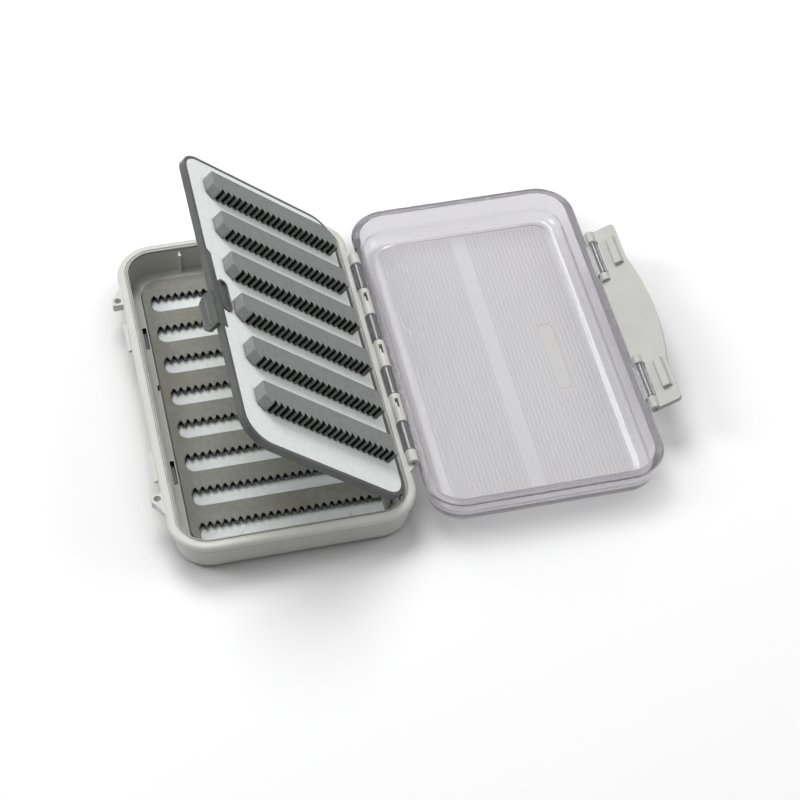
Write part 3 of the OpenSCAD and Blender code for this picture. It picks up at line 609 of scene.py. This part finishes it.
def bar(i):
    """One foam bar of the leaf, with its row of slit notches and painted shade on them."""
    far = BAR["first"] - i * BAR["pitch"]
    near = far - BAR["width"]
    free, heel, cut, blunt = BAR["free"], BAR["heel"], BAR["chamfer"], BAR["blunt"]
    count = int((heel - free - cut - 1) / PITCH)
    start = free + cut
    r = BAR["first_radius"] if i == 0 else BAR["radius"]
    outline = (arc(heel - r, far - r, r, 0, 90)
               + [(free + blunt, far), (free, far - blunt), (free, near + cut), (start, near)]
               + [(start + x, near + y) for x, y in notches(count)]
               + [(heel, near)])
    piece = slab(f"leaf_bar_{i + 1}_dressed", [outline], z_low=LEAF_TOP + BAR["gap"],
                 z_high=LEAF_TOP + BAR["height"] - BAR["gap"], edge=0.2)
    refine(piece, voxel=0.3, relax=2)
    ripple(piece, amount=0.04, size=4.0)
    # Painted shade: slits' walls near black, teeth's tips a darker grey
    for p in piece.data.polygons:
        past, n = p.center.y - near, p.normal
        slit = p.center.x > start + 0.3 and past < DEPTH + 0.3
        if slit and n.y < -0.2 and abs(n.z) < 0.7:
            p.material_index = SLIT_SHADE if past > 0.35 else TIP_SHADE
    settle(piece, LEAF, (BAR_FOAM, SLIT_SHADE_FOAM, TIP_SHADE_FOAM), "leaf", f"leaf_bar_{i + 1}")


def leaf_sheet():
    """The leaf's white sheet, with its edges eased."""
    mesh = NODES["leaf_backing"].data.copy()
    obj = add_object("leaf_backing_dressed", mesh)
    bm = bmesh.new()
    bm.from_mesh(mesh)
    bmesh.ops.remove_doubles(bm, verts=bm.verts, dist=1e-6)
    bmesh.ops.dissolve_limit(bm, angle_limit=0.01, verts=bm.verts, edges=bm.edges)
    sharp = [e for e in bm.edges if len(e.link_faces) == 2 and e.calc_face_angle() > 1.0]
    bmesh.ops.bevel(bm, geom=sharp, offset=0.12 * MM, segments=2, profile=0.5, affect="EDGES")
    bm.to_mesh(mesh)
    bm.free()
    mesh.materials.clear()
    mesh.materials.append(WHITE_FOAM)
    stand_in(obj, "leaf", "leaf_backing")


grey_base_foam()
white_base_foam()
for number in range(BARS):
    bar(number)
leaf_sheet()


# ------------------------------------------------------ floor, world, lamps

BLACK, FULL_WHITE = (0, 0, 0), (255, 255, 255)
LIT_FLOOR, SEEN_FLOOR = (190, 190, 190), (252, 252, 252)
FLOOR_SIZE, FLOOR_PLACE = 6, (0.05, 0, -0.0002)
# Grey of the world from below to above
WORLD_STOPS = ((0.0, 0.28), (0.2, 0.32), (0.6, 0.37), (1.0, 0.39))
WORLD_BLUE = 1.01
# Name, place, size and watts of each lamp
LAMPS = (("key", (-0.10, 0.75, 1.15), 0.8, 10.2),
         ("left", (-0.95, 0.30, 0.8), 0.6, 5.8),
         ("right", (1.05, -0.05, 0.9), 0.7, 3.4))
LAMP_TARGET = (0.05, 0, 0)


def floor():
    """Pale paper, near white where it is seen, with a deeper shade close to the object."""
    bpy.ops.mesh.primitive_plane_add(size=FLOOR_SIZE, location=FLOOR_PLACE)
    plane = bpy.context.object
    plane.name = "floor"
    m = Look("floor_paper")
    m.set(Roughness=0.95, Specular_IOR_Level=0.0)
    path = m.node("ShaderNodeLightPath")
    by_camera = path.outputs["Is Camera Ray"]
    seen = m.math("MAXIMUM", by_camera, path.outputs["Is Transmission Ray"])
    seen = m.math("MAXIMUM", seen, path.outputs["Is Glossy Ray"])
    near = m.node("ShaderNodeAmbientOcclusion")
    near.inputs["Distance"].default_value = 0.035
    open_share = m.map(near.outputs["AO"], low=0.72, high=1.0, from_low=0.5, from_high=0.9)
    contact = m.mix(by_camera, FULL_WHITE, m.mix(open_share, BLACK, FULL_WHITE))
    m.color(m.mix(1.0, m.mix(seen, LIT_FLOOR, SEEN_FLOOR), contact, "MULTIPLY"))
    plane.data.materials.append(m.mat)


def world():
    """A soft grey surround, white where the camera sees it."""
    w = bpy.data.worlds.new("studio")
    SCENE.world = w
    w.use_nodes = True
    nodes, links = w.node_tree.nodes, w.node_tree.links
    back = nodes["Background"]
    path = nodes.new("ShaderNodeLightPath")
    co = nodes.new("ShaderNodeTexCoord")
    split = nodes.new("ShaderNodeSeparateXYZ")
    links.new(co.outputs["Generated"], split.inputs["Vector"])
    ramp = nodes.new("ShaderNodeValToRGB")
    while len(ramp.color_ramp.elements) < len(WORLD_STOPS):
        ramp.color_ramp.elements.new(0.5)
    for e, (place, v) in zip(ramp.color_ramp.elements, WORLD_STOPS):
        e.position = place
        e.color = (v, v, v * WORLD_BLUE, 1)
    links.new(split.outputs["Z"], ramp.inputs["Fac"])
    mix = nodes.new("ShaderNodeMix")
    mix.data_type = "RGBA"
    links.new(path.outputs["Is Camera Ray"], mix.inputs[0])
    links.new(ramp.outputs["Color"], mix.inputs[6])
    mix.inputs[7].default_value = (1, 1, 1, 1)
    links.new(mix.outputs[2], back.inputs["Color"])


def lamp(name, place, size, energy):
    """A round area lamp that points at the object."""
    data = bpy.data.lights.new(name, "AREA")
    data.shape = "DISK"
    data.size = size
    data.energy = energy
    obj = add_object(name, data)
    obj.location = place
    aim = Vector(LAMP_TARGET) - Vector(place)
    obj.rotation_euler = aim.to_track_quat("-Z", "Y").to_euler()


floor()
world()
for name, place, size, energy in LAMPS:
    lamp(name, place, size, energy)


# ----------------------------------------------------------------- camera

LENS, SENSOR, NEAREST = 104.48, 36.0, 0.05
# The point looked at and the distance from it, in mm; the angles in degrees
TARGET, DISTANCE = (52.25, -10.60, 0), 898.25
AZIMUTH, ELEVATION, ROLL = -13.804, 49.593, 1.437


def camera():
    """The photograph's camera."""
    data = bpy.data.cameras.new("camera")
    data.lens = LENS
    data.sensor_width = SENSOR
    data.clip_start = NEAREST
    obj = add_object("camera", data)
    az, el, roll = (math.radians(v) for v in (AZIMUTH, ELEVATION, ROLL))
    back = Vector((math.sin(az) * math.cos(el), -math.cos(az) * math.cos(el), math.sin(el)))
    level_right = (-back).cross(Vector((0, 0, 1))).normalized()
    level_up = back.cross(level_right)
    right = level_right * math.cos(roll) + level_up * math.sin(roll)
    up = -level_right * math.sin(roll) + level_up * math.cos(roll)
    turn = Matrix((right, up, back)).transposed().to_4x4()
    obj.matrix_world = Matrix.Translation((Vector(TARGET) + back * DISTANCE) * MM) @ turn
    SCENE.camera = obj


camera()
SCENE.view_settings.view_transform = "Standard"
